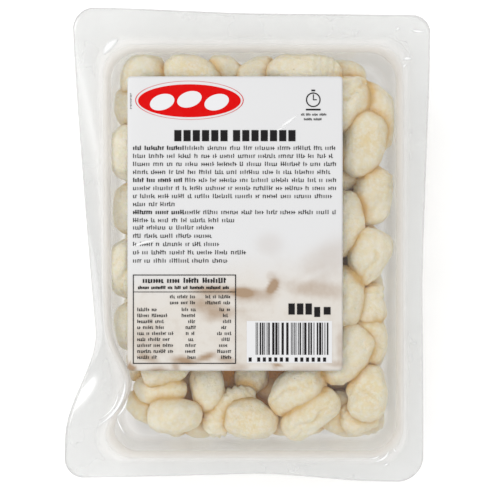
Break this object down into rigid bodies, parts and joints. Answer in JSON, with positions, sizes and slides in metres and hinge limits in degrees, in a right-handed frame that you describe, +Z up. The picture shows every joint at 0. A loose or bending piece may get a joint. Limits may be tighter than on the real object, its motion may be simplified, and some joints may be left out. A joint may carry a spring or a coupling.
{
  "type": "sealed tray pack of potato gnocchi",
  "caption": "Sealed clear plastic tray with a flange, filled with a heap of fresh potato gnocchi under lidding film and a plain label.",
  "frame": {"origin": "middle of the pack's outline, on the plane that the tray's flat base rests on", "axes": "+Z up out of the label, +Y towards the label's top edge along the pack's length, +X to the right of a person reading the label"},
  "size_m": [0.1547, 0.2007, 0.0367],
  "materials": {
    "tray": "clear thermoformed plastic, slightly hazy",
    "lidding_film": "clear glossy sealing film",
    "label": "pale satin self-adhesive label",
    "gnocchi_heap": "matte floury potato dough"
  },
  "bodies": {
    "root": {"tray": "tray", "lidding_film": "lidding_film", "label": "label", "gnocchi_heap": "gnocchi_heap"}
  },
  "joints": []
}
